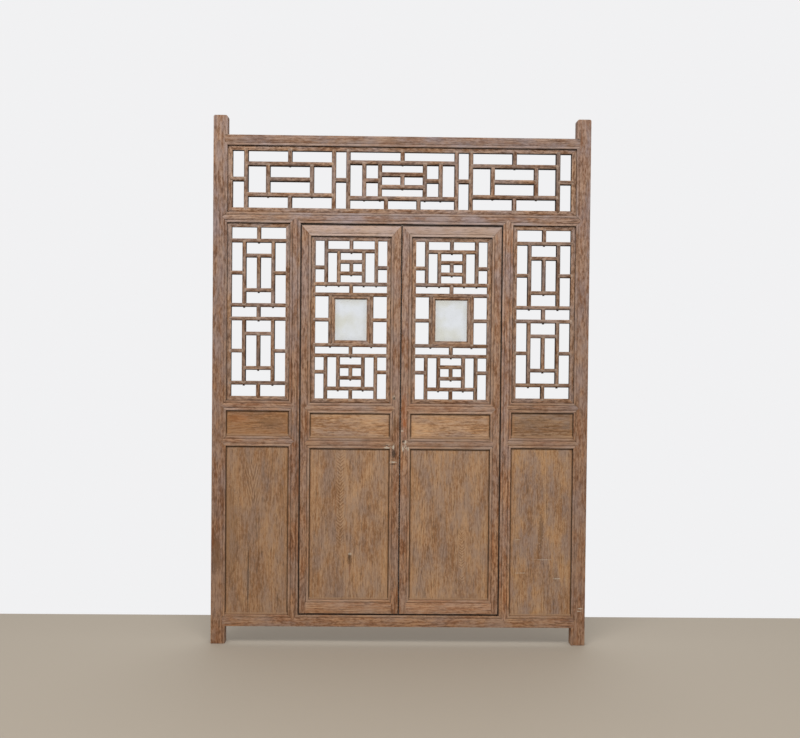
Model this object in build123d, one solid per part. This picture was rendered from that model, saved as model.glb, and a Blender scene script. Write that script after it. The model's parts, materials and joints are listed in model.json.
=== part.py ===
from build123d import *
import os

# Double-leaf lattice door hung in its own post-and-rail frame.
# Lengths are in millimetres. +Z is up, the moulded front faces -Y,
# and the origin lies on the floor midway between the two posts.

# Outer frame
frame_width = 1710.0
doorway_width = 920.0
foot_height = 80.0
doorway_height = 1786.0
transom_height = 303.0
horn_height = 87.0
post_width = 63.0
post_depth = 60.0
horn_round = 8.0
horn_bead_height = 36.0
jamb_width = 46.0
rail_depth = 52.0
rail_setback = 1.5
top_rail_height = 46.0
transom_rail_height = 46.0
bottom_rail_height = 52.0

# Fixed side bays, from the bottom rail upwards
side_tall_panel_height = 772.0
side_lower_rail_height = 44.0
side_small_panel_height = 118.0
side_upper_rail_height = 44.0
side_rail_depth = 44.0

# Leaves, from the bottom edge upwards
leaf_depth = 40.0
leaf_setback = 5.0
leaf_bottom_gap = 6.0
leaf_top_gap = 4.6
hinge_gap = 2.0
meeting_gap = 0.4
meeting_relief = 0.7
stile_width = 46.0
leaf_bottom_rail_height = 64.0
leaf_tall_panel_height = 694.0
leaf_lower_rail_height = 45.0
leaf_small_panel_height = 116.0
leaf_upper_rail_height = 45.0
leaf_top_rail_height = 52.0

# Wooden pivots, cut on the ends of each hinge stile
pivot_radius = 13.0
pivot_clearance = 0.3
pivot_end_gap = 0.3
pivot_lift_gap = 5.0
top_pivot_depth = 28.0
bottom_pivot_depth = 4.4

# Moulded front of posts, rails, jambs and stiles
bead_width = 10.0
bead_drop = 0.5
shoulder_drop = 1.4
groove_width = 2.4
groove_depth = 3.0

# Joints: a pointed skin in front, a tenon behind it
skin_depth = 10.0
tenon_cheek = 4.0
tenon_thickness = 14.0
tenon_length = 30.0
tenon_inset = 11.0
joint_gap = 0.1
overrun = 5.0

# Raised panels, let into grooves
panel_setback = 5.0
panel_field_thickness = 9.0
panel_edge_gap = 0.6
panel_bevel_width = 14.0
panel_bevel_drop = 3.0
panel_tongue_thickness = 7.0
panel_tongue_length = 8.0

# Lattices: bars with rounded fronts inside a mitred border
bar_width = 16.0
bar_depth = 28.0
transom_bar_width = 18.0
transom_bar_depth = 32.0
bar_crown = 1.4
bar_tenon_width = 7.0
bar_tenon_cheek = 7.0
bar_tenon_thickness = 11.0
bar_tenon_stub = 4.5
lattice_setback = 8.0
border_extra = 4.0

# Bar places in the transom, as shares of half its clear width or height
transom_edge_share = 0.910
transom_block_share = 0.400
transom_middle_share = 0.316
transom_outer_share = 0.223
transom_inner_share = 0.131
transom_foot_share = 0.095
transom_band_share = 0.504
transom_middle_band_share = 0.583
transom_pair_share = 0.205

# Bar places in a side bay
side_long_share = 0.500
side_edge_share = 0.825
side_centre_share = 0.079
side_pair_share = 0.200

# Bar places in a leaf
leaf_outer_share = 0.667
leaf_inner_share = 0.333
leaf_pane_share = 0.550
leaf_ring_share = 0.442
leaf_pane_band_share = 0.313
leaf_cap_share = 0.853
leaf_near_share = 0.576
leaf_far_share = 0.719
leaf_short_share = 0.647

# Glazed opening in the middle of each leaf's lattice
pane_frame_width = 14.0
pane_frame_depth = 20.0
pane_frame_setback = 2.0
pane_step_width = 5.0
pane_step_depth = 4.0
glass_thickness = 3.0
glass_edge = 3.0
glass_gap = 0.2
glass_setback = 6.0

# Heights and faces that the pieces share
moulding_width = bead_width + groove_width
bottom_rail_top = foot_height + bottom_rail_height
transom_rail_low = bottom_rail_top + doorway_height
transom_rail_top = transom_rail_low + transom_rail_height
top_rail_low = transom_rail_top + transom_height
top_rail_top = top_rail_low + top_rail_height
post_top = top_rail_top + horn_height
post_inner = frame_width / 2 - post_width
jamb_inner = doorway_width / 2
jamb_outer = jamb_inner + jamb_width
post_front = -post_depth / 2
rail_front = post_front + rail_setback
leaf_front = post_front + leaf_setback
pivot_y = leaf_front + leaf_depth / 2
leaf_outer = jamb_inner - hinge_gap
leaf_inner = meeting_gap / 2
pivot_x = leaf_outer - leaf_depth / 2
hinge_stile_inner = leaf_outer - stile_width
meeting_stile_inner = leaf_inner + stile_width
leaf_low = bottom_rail_top + leaf_bottom_gap
leaf_top = transom_rail_low - leaf_top_gap
corner_align = (Align.MIN, Align.MIN, Align.MIN)


# A block between two corners, given by its ranges along x, y and z
def block(x_range, y_range, z_range):
    size_x = x_range[1] - x_range[0]
    size_y = y_range[1] - y_range[0]
    size_z = z_range[1] - z_range[0]
    return Pos(x_range[0], y_range[0], z_range[0]) * Box(size_x, size_y, size_z, align=corner_align)


# A range widened by a margin at both ends
def widened(limits, margin):
    return (limits[0] - margin, limits[1] + margin)


# A face drawn in the front view, swept from the front to the back
def front_prism(face, y_front, y_back):
    return extrude(Plane.XZ.offset(-y_back) * face, amount=y_back - y_front, dir=(0, -1, 0))


# A section carried up from z_low to z_high
def upright_blank(section, x, y, z_low, z_high):
    return extrude(Pos(x, y, z_low) * section, amount=z_high - z_low, dir=(0, 0, 1))


# A section carried across from x_low to x_high
def level_blank(section, z, y, x_low, x_high):
    plane = Plane(origin=(x_low, y, z), x_dir=(0, 0, 1), z_dir=(-1, 0, 0))
    return extrude(plane * section, amount=x_high - x_low, dir=(1, 0, 0))


# The same piece for the other side of the door
def other_hand(piece):
    return mirror(piece, about=Plane.YZ)


# A bead along one edge of a section, and the groove that parts it from the middle
def bead_and_groove(edge, inward):
    bead_middle = edge + inward * bead_width / 2
    bead_end = edge + inward * bead_width
    groove_middle = bead_end + inward * groove_width / 2
    middle_start = edge + inward * moulding_width
    bead = ThreePointArc((edge, shoulder_drop), (bead_middle, bead_drop), (bead_end, shoulder_drop))
    bead += Line((bead_end, shoulder_drop), (groove_middle, groove_depth))
    bead += Line((groove_middle, groove_depth), (middle_start, shoulder_drop))
    return bead


# Section with a crowned middle and a bead along each edge that has one
def moulded_section(width, depth, low_bead, high_bead):
    low = -width / 2
    high = width / 2
    crown_low = low + moulding_width if low_bead else low
    crown_high = high - moulding_width if high_bead else high
    crown_middle = (crown_low + crown_high) / 2
    outline = Polyline((low, shoulder_drop), (low, depth), (high, depth), (high, shoulder_drop))
    outline += ThreePointArc((crown_low, shoulder_drop), (crown_middle, 0), (crown_high, shoulder_drop))
    if low_bead:
        outline += bead_and_groove(low, 1)
    if high_bead:
        outline += bead_and_groove(high, -1)
    return make_face(outline.edges())


# Front view of a member whose beads are mitred into the pieces at its ends
def pointed_outline(start, end, low, high, low_bead, high_bead):
    if low_bead and high_bead:
        reach = (high - low) / 2
        far_end = [(end + reach, low + reach)]
        near_end = [(start - reach, low + reach)]
    elif low_bead:
        far_end = [(end + moulding_width, low + moulding_width), (end + moulding_width, high)]
        near_end = [(start - moulding_width, high), (start - moulding_width, low + moulding_width)]
    else:
        far_end = [(end + moulding_width, low), (end + moulding_width, high - moulding_width)]
        near_end = [(start - moulding_width, high - moulding_width), (start - moulding_width, low)]
    return [(start, low), (end, low)] + far_end + [(end, high), (start, high)] + near_end


# Points given along and across a member, turned into front view places
def front_face(points, axis):
    if axis == "upright":
        points = [(across, along) for along, across in points]
    return make_face(Polyline(*points, close=True))


# A block given along and across a member
def member_block(axis, along, y_range, across):
    if axis == "upright":
        return block(across, y_range, along)
    return block(along, y_range, across)


# A rail or jamb with its points and tenons, and the socket that takes them
def framed_member(axis, along, across, front, depth, beads, points=None):
    points = points or pointed_outline(*along, *across, *beads)
    section = moulded_section(across[1] - across[0], depth, *beads)
    reach = min(point[0] for point in points)
    blank_along = widened(along, max(tenon_length, along[0] - reach))
    middle = (across[0] + across[1]) / 2
    if axis == "upright":
        blank = upright_blank(section, middle, front, *blank_along)
    else:
        blank = level_blank(section, middle, front, *blank_along)
    face = front_face(points, axis)
    skin_back = front + skin_depth
    tenon_front = skin_back + tenon_cheek
    tenon_y = (tenon_front, tenon_front + tenon_thickness)
    tenon_along = widened(along, tenon_length)
    tenon_across = widened(across, -tenon_inset)
    skin = front_prism(face, front - overrun, skin_back)
    core = member_block(axis, along, (skin_back, front + depth), across)
    tenons = member_block(axis, tenon_along, tenon_y, tenon_across)
    member = blank & (skin + core + tenons)
    loose_face = offset(face, joint_gap, kind=Kind.INTERSECTION)
    loose_y = widened(tenon_y, joint_gap)
    loose_along = widened(tenon_along, joint_gap)
    loose_across = widened(tenon_across, joint_gap)
    socket = front_prism(loose_face, front - overrun, skin_back + joint_gap)
    socket += member_block(axis, loose_along, loose_y, loose_across)
    return member, socket


# A raised panel for an opening, and the grooves that its edges run in
def raised_panel(x_range, z_range, front):
    field_front = front + panel_setback
    tongue_front = field_front + panel_field_thickness
    tongue_y = (tongue_front, tongue_front + panel_tongue_thickness)
    field_x = widened(x_range, -panel_edge_gap)
    field_z = widened(z_range, -panel_edge_gap)
    level_section = rounded_section(field_x[1] - field_x[0])
    upright_section = rounded_section(field_z[1] - field_z[0])
    field_middle_x = (field_x[0] + field_x[1]) / 2
    field_middle_z = (field_z[0] + field_z[1]) / 2
    field = upright_blank(level_section, field_middle_x, field_front, *field_z)
    field = field & level_blank(upright_section, field_middle_z, field_front, *field_x)
    tongue_x = widened(x_range, panel_tongue_length)
    tongue_z = widened(z_range, panel_tongue_length)
    tongue = block(tongue_x, tongue_y, tongue_z)
    groove_x = widened(tongue_x, joint_gap)
    groove_z = widened(tongue_z, joint_gap)
    grooves = block(groove_x, widened(tongue_y, joint_gap), groove_z)
    return field + tongue, grooves


# Section of a panel's field, with both front edges rounded over
def rounded_section(width):
    half = width / 2
    flat = half - panel_bevel_width
    edge = panel_bevel_drop
    back = panel_field_thickness
    outline = Polyline((-half, edge), (-half, back), (half, back), (half, edge))
    outline += Line((-flat, 0), (flat, 0))
    outline += TangentArc((flat, 0), (half, edge), tangent=(1, 0))
    outline += TangentArc((-flat, 0), (-half, edge), tangent=(-1, 0))
    return make_face(outline.edges())


# Section of a lattice bar: flat sides and a rounded front
def bar_section(width, depth):
    half = width / 2
    outline = Polyline((-half, bar_crown), (-half, depth), (half, depth), (half, bar_crown))
    outline += ThreePointArc((-half, bar_crown), (0, 0), (half, bar_crown))
    return make_face(outline.edges())


# Section of the frame around a pane: a step in front and a groove for the glass
def pane_section():
    step = pane_frame_width - pane_step_width
    groove_front = pane_step_depth + glass_setback
    groove_back = groove_front + glass_thickness + 2 * glass_gap
    groove = pane_frame_width - glass_edge - glass_gap
    inner = pane_frame_width
    back = pane_frame_depth
    return make_face(Polyline((0, 0), (step, 0), (step, pane_step_depth), (inner, pane_step_depth),
                              (inner, groove_front), (groove, groove_front), (groove, groove_back),
                              (inner, groove_back), (inner, back), (0, back), close=True))


# Four mitred members around a rectangle, built about its middle
def mitred_frame(half_width, half_height, section, width, depth, front):
    upright = upright_blank(section, -half_width, front, -half_height, half_height)
    level = level_blank(section, -half_height, front, -half_width, half_width)
    inner_x = half_width - width
    inner_z = half_height - width
    upright_points = [(-half_width, -half_height + joint_gap), (-inner_x, -inner_z + joint_gap),
                      (-inner_x, inner_z - joint_gap), (-half_width, half_height - joint_gap)]
    level_points = [(-half_width, -half_height), (half_width, -half_height),
                    (inner_x, -inner_z), (-inner_x, -inner_z)]
    upright &= front_prism(front_face(upright_points, "level"), front - overrun, front + depth)
    level &= front_prism(front_face(level_points, "level"), front - overrun, front + depth)
    return [upright, mirror(upright, about=Plane.YZ), level, mirror(level, about=Plane.XY)]


# True where the lower end of an upright stands on a level bar
def stands_on(upright, level):
    x, z_one, z_two = upright
    z, x_one, x_two = level
    along = min(x_one, x_two) < x < max(x_one, x_two)
    return along and abs(min(z_one, z_two) - z) < joint_gap


# The tenon that an upright runs down through a level bar, or its mortise with a margin
def bar_tenon(x, z_range, front, margin):
    half = bar_tenon_width / 2
    tenon_front = front + bar_tenon_cheek
    tenon_y = (tenon_front, tenon_front + bar_tenon_thickness)
    return block(widened((x - half, x + half), margin), widened(tenon_y, margin), z_range)


# Lattice bars from their places, each shouldered between the two bars that it meets;
# tenons show below the bars that they run through, or end flush where a pane frame lies below
def shouldered_bars(levels, uprights, flush_heights, width, depth, front):
    section = bar_section(width, depth)
    shoulder = width / 2 + joint_gap
    bars = []
    for level in levels:
        z, x_one, x_two = level
        low, high = sorted((x_one, x_two))
        bar = level_blank(section, z, front, low + shoulder, high - shoulder)
        for upright in uprights:
            if stands_on(upright, level):
                bar -= bar_tenon(upright[0], widened((z, z), width), front, joint_gap)
        bars.append(bar)
    for upright in uprights:
        x, z_one, z_two = upright
        low, high = sorted((z_one, z_two))
        bar = upright_blank(section, x, front, low + shoulder, high - shoulder)
        if any(stands_on(upright, level) for level in levels):
            stub = 0 if low in flush_heights else bar_tenon_stub
            bar += bar_tenon(x, (low - width / 2 - stub, low + width), front, 0)
        bars.append(bar)
    return bars


# Bar places in the transom, about its middle
def transom_places(half_width, half_height):
    edge = half_width * transom_edge_share
    block_side = half_width * transom_block_share
    middle = half_width * transom_middle_share
    outer = half_width * transom_outer_share
    inner = half_width * transom_inner_share
    foot = half_width * transom_foot_share
    band = half_height * transom_band_share
    middle_band = half_height * transom_middle_band_share
    pair = half_height * transom_pair_share
    centre = (edge + block_side) / 2
    quarter = (edge - block_side) / 4
    levels = []
    uprights = [(0, middle_band, half_height), (0, -pair, pair)]
    for side in (-1, 1):
        for x in (edge, block_side, middle):
            uprights.append((side * x, -half_height, half_height))
        for x in (outer, inner):
            uprights.append((side * x, -middle_band, middle_band))
        uprights.append((side * foot, -half_height, -middle_band))
        levels.append((0, side * edge, side * half_width))
        levels.append((0, side * middle, side * block_side))
        levels.append((0, side * inner, side * outer))
        levels.append((0, side * (centre - quarter), side * (centre + quarter)))
        levels.append((side * middle_band, -middle, middle))
        levels.append((side * pair, -inner, inner))
        for end in (-1, 1):
            levels.append((end * band, side * block_side, side * edge))
            uprights.append((side * centre, end * band, end * half_height))
            uprights.append((side * (centre + end * quarter), -band, band))
    return levels, uprights, []


# Bar places in a side bay, about its middle
def side_places(half_width, half_height):
    long = half_width * side_long_share
    edge = half_height * side_edge_share
    centre = half_height * side_centre_share
    pair = half_height * side_pair_share
    levels = []
    uprights = [(0, -centre, centre)]
    for end in (-1, 1):
        block_middle = end * (edge + centre) / 2
        levels.append((end * edge, -half_width, half_width))
        levels.append((end * centre, -half_width, half_width))
        uprights.append((0, end * edge, end * half_height))
        uprights.append((0, block_middle - pair, block_middle + pair))
        for side in (-1, 1):
            uprights.append((side * long, end * centre, end * edge))
            levels.append((block_middle, side * long, side * half_width))
            levels.append((block_middle + side * pair, -long, long))
    return levels, uprights, []


# Bar places in a leaf, about its middle
def leaf_places(half_width, half_height):
    outer = half_width * leaf_outer_share
    inner = half_width * leaf_inner_share
    pane = half_width * leaf_pane_share
    ring = half_height * leaf_ring_share
    pane_band = half_height * leaf_pane_band_share
    cap = half_height * leaf_cap_share
    near = half_height * leaf_near_share
    far = half_height * leaf_far_share
    short = half_height * leaf_short_share
    levels = []
    uprights = []
    for end in (-1, 1):
        for z in (ring, pane_band):
            levels.append((end * z, -half_width, half_width))
        for z in (near, far):
            levels.append((end * z, -inner, inner))
        levels.append((end * cap, -outer, outer))
        for low, high in ((pane_band, ring), (near, far), (cap, half_height)):
            uprights.append((0, end * low, end * high))
        for side in (-1, 1):
            uprights.append((side * outer, end * ring, end * half_height))
            uprights.append((side * inner, end * ring, end * cap))
            levels.append((end * short, side * outer, side * half_width))
    for side in (-1, 1):
        uprights.append((side * pane, -pane_band, pane_band))
        levels.append((0, side * pane, side * half_width))
    return levels, uprights, [pane_band]


# Border and bars of a lattice that fills an opening
def lattice(x_range, z_range, front, width, depth, places):
    middle = Pos((x_range[0] + x_range[1]) / 2, 0, (z_range[0] + z_range[1]) / 2)
    half_width = (x_range[1] - x_range[0]) / 2 - joint_gap
    half_height = (z_range[1] - z_range[0]) / 2 - joint_gap
    border_width = border_extra + width
    section = Pos(border_width / 2, 0) * bar_section(border_width, depth)
    border = mitred_frame(half_width, half_height, section, border_width, depth, front)
    border_middle = border_extra + width / 2
    bar_places = places(half_width - border_middle, half_height - border_middle)
    bars = shouldered_bars(*bar_places, width, depth, front)
    return Compound([middle * piece for piece in border]), Compound([middle * piece for piece in bars])


# Frame and glass of the pane in the middle of a leaf's lattice
def glazing(x_range, z_range, front):
    middle = Pos((x_range[0] + x_range[1]) / 2, 0, (z_range[0] + z_range[1]) / 2)
    border_middle = border_extra + bar_width / 2 + joint_gap
    to_bar_side = bar_width / 2 + joint_gap
    lattice_half_width = (x_range[1] - x_range[0]) / 2 - border_middle
    lattice_half_height = (z_range[1] - z_range[0]) / 2 - border_middle
    half_width = lattice_half_width * leaf_pane_share - to_bar_side
    half_height = lattice_half_height * leaf_pane_band_share - to_bar_side
    frame_front = front + pane_frame_setback
    frame = mitred_frame(
        half_width, half_height, pane_section(), pane_frame_width, pane_frame_depth, frame_front)
    glass_front = frame_front + pane_step_depth + glass_setback + glass_gap
    glass_half_width = half_width - pane_frame_width + glass_edge
    glass_half_height = half_height - pane_frame_width + glass_edge
    glass = block((-glass_half_width, glass_half_width), (glass_front, glass_front + glass_thickness),
                  (-glass_half_height, glass_half_height))
    return Compound([middle * piece for piece in frame]), middle * glass


# A round pivot or its socket, standing on the pivot axis of the right leaf
def pivot(radius, z_low, z_high):
    axis_foot = Pos(pivot_x, pivot_y, z_low)
    return axis_foot * Cylinder(radius, z_high - z_low, align=(Align.CENTER, Align.CENTER, Align.MIN))


# Rails across the whole frame
frame_span = (-post_inner, post_inner)
top_rail, top_socket = framed_member(
    "level", frame_span, (top_rail_low, top_rail_top), rail_front, rail_depth, (True, False))
transom_rail, transom_socket = framed_member(
    "level", frame_span, (transom_rail_low, transom_rail_top), rail_front, rail_depth, (True, True))
bottom_rail, bottom_socket = framed_member(
    "level", frame_span, (foot_height, bottom_rail_top), rail_front, rail_depth, (False, True))

# Right jamb, and the right side bay's rails and panels
jamb_span = (bottom_rail_top, transom_rail_low)
right_jamb, jamb_socket = framed_member(
    "upright", jamb_span, (jamb_inner, jamb_outer), rail_front, rail_depth, (True, True))
bay_span = (jamb_outer, post_inner)
side_lower_rail_low = bottom_rail_top + side_tall_panel_height
side_lower_rail_top = side_lower_rail_low + side_lower_rail_height
side_upper_rail_low = side_lower_rail_top + side_small_panel_height
side_upper_rail_top = side_upper_rail_low + side_upper_rail_height
side_lower_rail, side_lower_socket = framed_member(
    "level", bay_span, (side_lower_rail_low, side_lower_rail_top), rail_front, side_rail_depth, (True, True))
side_upper_rail, side_upper_socket = framed_member(
    "level", bay_span, (side_upper_rail_low, side_upper_rail_top), rail_front, side_rail_depth, (True, True))
side_tall_panel, side_tall_grooves = raised_panel(
    bay_span, (bottom_rail_top, side_lower_rail_low), rail_front)
side_small_panel, side_small_grooves = raised_panel(
    bay_span, (side_lower_rail_top, side_upper_rail_low), rail_front)
side_lower_rail -= side_tall_grooves + side_small_grooves
side_upper_rail -= side_small_grooves
right_jamb -= side_lower_socket + side_upper_socket + side_tall_grooves + side_small_grooves

# Sockets in the long rails for the jambs, the panels and the leaf pivots
top_pivot_top = transom_rail_low + top_pivot_depth
bottom_pivot_low = bottom_rail_top - bottom_pivot_depth
socket_radius = pivot_radius + pivot_clearance
transom_holes = jamb_socket + pivot(socket_radius, transom_rail_low - overrun, top_pivot_top)
bottom_holes = jamb_socket + side_tall_grooves
bottom_holes += pivot(socket_radius, bottom_pivot_low, bottom_rail_top + overrun)
transom_rail -= transom_holes
transom_rail -= other_hand(transom_holes)
bottom_rail -= bottom_holes
bottom_rail -= other_hand(bottom_holes)

# Right post, with a bead along its inner edge that stops below the plain, rounded top
post_middle = post_inner + post_width / 2
bead_top = top_rail_top + horn_bead_height
post_section = moulded_section(post_width, post_depth, True, False)
horn_section = moulded_section(post_width, post_depth, False, False)
right_post = upright_blank(post_section, post_middle, post_front, 0, bead_top)
right_post += upright_blank(horn_section, post_middle, post_front, bead_top, post_top)
horn_edges = right_post.faces().sort_by(Axis.Z)[-1].edges().filter_by(Axis.Y)
right_post = fillet(horn_edges, horn_round)
for socket in (top_socket, transom_socket, bottom_socket, side_lower_socket, side_upper_socket):
    right_post -= socket
right_post -= side_tall_grooves + side_small_grooves

# Right leaf: rails between the stiles
leaf_span = (meeting_stile_inner, hinge_stile_inner)
leaf_bottom_rail_top = leaf_low + leaf_bottom_rail_height
leaf_lower_rail_low = leaf_bottom_rail_top + leaf_tall_panel_height
leaf_lower_rail_top = leaf_lower_rail_low + leaf_lower_rail_height
leaf_upper_rail_low = leaf_lower_rail_top + leaf_small_panel_height
leaf_upper_rail_top = leaf_upper_rail_low + leaf_upper_rail_height
leaf_top_rail_low = leaf_top - leaf_top_rail_height
mitre_points = [(meeting_stile_inner, leaf_top_rail_low), (hinge_stile_inner, leaf_top_rail_low),
                (leaf_outer, leaf_top), (leaf_inner, leaf_top)]
leaf_bottom_rail, leaf_bottom_socket = framed_member(
    "level", leaf_span, (leaf_low, leaf_bottom_rail_top), leaf_front, leaf_depth, (False, True))
leaf_lower_rail, leaf_lower_socket = framed_member(
    "level", leaf_span, (leaf_lower_rail_low, leaf_lower_rail_top), leaf_front, leaf_depth, (True, True))
leaf_upper_rail, leaf_upper_socket = framed_member(
    "level", leaf_span, (leaf_upper_rail_low, leaf_upper_rail_top), leaf_front, leaf_depth, (True, True))
leaf_top_rail, leaf_top_socket = framed_member(
    "level", leaf_span, (leaf_top_rail_low, leaf_top), leaf_front, leaf_depth, (True, False), mitre_points)

# Right leaf: panels and their grooves in the rails
leaf_tall_panel, leaf_tall_grooves = raised_panel(
    leaf_span, (leaf_bottom_rail_top, leaf_lower_rail_low), leaf_front)
leaf_small_panel, leaf_small_grooves = raised_panel(
    leaf_span, (leaf_lower_rail_top, leaf_upper_rail_low), leaf_front)
leaf_bottom_rail -= leaf_tall_grooves
leaf_lower_rail -= leaf_tall_grooves + leaf_small_grooves
leaf_upper_rail -= leaf_small_grooves

# Right leaf: stiles; the hinge stile turns on its own rounded back edge and pivots
meeting_section = moulded_section(stile_width, leaf_depth, False, True)
hinge_section = moulded_section(stile_width, leaf_depth, True, False)
hinge_back_corner = hinge_section.vertices().group_by(Axis.Y)[-1].sort_by(Axis.X)[-1]
hinge_section = fillet(hinge_back_corner, leaf_depth / 2)
meeting_stile = upright_blank(meeting_section, leaf_inner + stile_width / 2, leaf_front, leaf_low, leaf_top)
hinge_stile = upright_blank(hinge_section, leaf_outer - stile_width / 2, leaf_front, leaf_low, leaf_top)
leaf_sockets = [leaf_bottom_socket, leaf_lower_socket, leaf_upper_socket, leaf_top_socket]
for socket in leaf_sockets + [leaf_tall_grooves, leaf_small_grooves]:
    meeting_stile -= socket
    hinge_stile -= socket

# The meeting edge is eased towards the front, so that the two leaves pass each other
relief_points = [(-overrun, 0), (meeting_relief, 0), (0, leaf_depth / 2), (-overrun, leaf_depth / 2)]
relief_face = make_face(Polyline(*relief_points, close=True))
seam_relief = upright_blank(relief_face, leaf_inner, leaf_front, leaf_low - overrun, leaf_top + overrun)
meeting_stile -= seam_relief
leaf_top_rail -= seam_relief

# Pivots on the hinge stile
hinge_stile += pivot(pivot_radius, leaf_top, top_pivot_top - pivot_lift_gap)
hinge_stile += pivot(pivot_radius, bottom_pivot_low + pivot_end_gap, leaf_low)

# Lattices and glazing
transom_border, transom_bars = lattice(
    frame_span, (transom_rail_top, top_rail_low), rail_front + lattice_setback,
    transom_bar_width, transom_bar_depth, transom_places)
side_border, side_bars = lattice(
    bay_span, (side_upper_rail_top, transom_rail_low), rail_front + lattice_setback,
    bar_width, bar_depth, side_places)
leaf_opening = (leaf_upper_rail_top, leaf_top_rail_low)
leaf_lattice_front = leaf_front + lattice_setback
leaf_border, leaf_bars = lattice(
    leaf_span, leaf_opening, leaf_lattice_front, bar_width, bar_depth, leaf_places)
pane_frame, glass = glazing(leaf_span, leaf_opening, leaf_lattice_front)

# Pieces that stand once, and pieces that each side of the door has
single_pieces = {
    "top_rail": top_rail,
    "transom_rail": transom_rail,
    "bottom_rail": bottom_rail,
    "transom_lattice_border": transom_border,
    "transom_lattice_bars": transom_bars,
}
paired_pieces = {
    "post": right_post,
    "jamb": right_jamb,
    "side_lower_rail": side_lower_rail,
    "side_upper_rail": side_upper_rail,
    "side_tall_panel": side_tall_panel,
    "side_small_panel": side_small_panel,
    "side_lattice_border": side_border,
    "side_lattice_bars": side_bars,
    "leaf_hinge_stile": hinge_stile,
    "leaf_meeting_stile": meeting_stile,
    "leaf_bottom_rail": leaf_bottom_rail,
    "leaf_lower_rail": leaf_lower_rail,
    "leaf_upper_rail": leaf_upper_rail,
    "leaf_top_rail": leaf_top_rail,
    "leaf_tall_panel": leaf_tall_panel,
    "leaf_small_panel": leaf_small_panel,
    "leaf_lattice_border": leaf_border,
    "leaf_lattice_bars": leaf_bars,
    "leaf_pane_frame": pane_frame,
    "leaf_glass": glass,
}

os.makedirs("parts", exist_ok=True)
for name, piece in single_pieces.items():
    export_step(piece, f"parts/{name}.step")
for name, piece in paired_pieces.items():
    export_step(piece, f"parts/right_{name}.step")
    export_step(other_hand(piece), f"parts/left_{name}.step")
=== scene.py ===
import json
import math

import bmesh
import bpy
from mathutils import Matrix, Vector


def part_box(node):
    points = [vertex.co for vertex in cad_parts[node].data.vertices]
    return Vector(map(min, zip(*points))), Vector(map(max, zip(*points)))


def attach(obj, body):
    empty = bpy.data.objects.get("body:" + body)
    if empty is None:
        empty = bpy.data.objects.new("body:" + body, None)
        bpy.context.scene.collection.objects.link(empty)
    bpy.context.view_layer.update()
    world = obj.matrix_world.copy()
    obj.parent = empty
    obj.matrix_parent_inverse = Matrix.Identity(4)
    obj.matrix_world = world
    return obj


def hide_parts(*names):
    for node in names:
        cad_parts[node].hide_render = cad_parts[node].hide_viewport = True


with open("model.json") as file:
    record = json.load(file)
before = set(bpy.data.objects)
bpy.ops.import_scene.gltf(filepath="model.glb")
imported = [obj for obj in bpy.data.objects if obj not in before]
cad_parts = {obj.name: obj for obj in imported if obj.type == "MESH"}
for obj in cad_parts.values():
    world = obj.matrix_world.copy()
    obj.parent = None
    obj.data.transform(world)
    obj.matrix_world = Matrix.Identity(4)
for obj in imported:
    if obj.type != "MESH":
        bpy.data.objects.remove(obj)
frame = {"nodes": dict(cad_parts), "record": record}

scene = bpy.context.scene
nodes = frame["nodes"]
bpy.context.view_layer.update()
bodyOf = {node: body for body, names in frame["record"]["behaviour"]["bodies"].items() for node in names}
print("frame loaded:", len(nodes), "pieces")


# a node with its settings and inputs in one go; an input that is a socket gets linked
def put(tree, kind, inputs=None, **settings):
    node = tree.nodes.new(kind)
    for name, value in settings.items():
        setattr(node, name, value)
    for key, value in (inputs or {}).items():
        if isinstance(value, bpy.types.NodeSocket):
            tree.links.new(value, node.inputs[key])
        else:
            node.inputs[key].default_value = value
    return node


def link(socket, target):
    target.id_data.links.new(socket, target)


# a node in the tree of the sockets that go into it
def join(kind, inputs, **settings):
    tree = next(value.id_data for value in inputs.values() if isinstance(value, bpy.types.NodeSocket))
    return put(tree, kind, inputs, **settings)


def calc(operation, first, second=0.0, clamp=False):
    inputs = {0: first, 1: second}
    return join("ShaderNodeMath", inputs, operation=operation, use_clamp=clamp).outputs[0]


def plus(first, second):
    return calc("ADD", first, second)


def minus(first, second):
    return calc("SUBTRACT", first, second)


def times(first, second):
    return calc("MULTIPLY", first, second)


def distance(first, second):
    return calc("ABSOLUTE", minus(first, second))


# what is left of a share
def rest(share):
    return minus(1.0, share)


def vectorCalc(operation, first, second):
    return join("ShaderNodeVectorMath", {0: first, 1: second}, operation=operation).outputs[0]


def scaled(vector, scale):
    return join("ShaderNodeVectorMath", {0: vector, "Scale": scale}, operation="SCALE").outputs[0]


def axesOf(vector):
    return join("ShaderNodeSeparateXYZ", {0: vector}).outputs


def objectPlace(tree):
    return put(tree, "ShaderNodeTexCoord").outputs["Object"]


# 0 below the first limit, 1 above the second, soft between them
def ease(value, low, high):
    limits = {"Value": value, "From Min": low, "From Max": high}
    return join("ShaderNodeMapRange", limits, interpolation_type="SMOOTHSTEP").outputs["Result"]


# 1 below the first limit, 0 above the second
def lessThan(value, low, high):
    return rest(ease(value, low, high))


def mixed(factor, first, second, kind="MIX"):
    inputs = {0: factor, 6: first, 7: second}
    return join("ShaderNodeMix", inputs, data_type="RGBA", blend_type=kind).outputs[2]


# sockets scaled by their shares and added up
def weighted(parts):
    total = None
    for socket, share in parts:
        part = times(socket, share)
        total = part if total is None else plus(total, part)
    return total


def noiseAt(vector, scale, detail):
    inputs = {"Vector": vector, "Scale": scale, "Detail": detail}
    return join("ShaderNodeTexNoise", inputs).outputs["Fac"]


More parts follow.
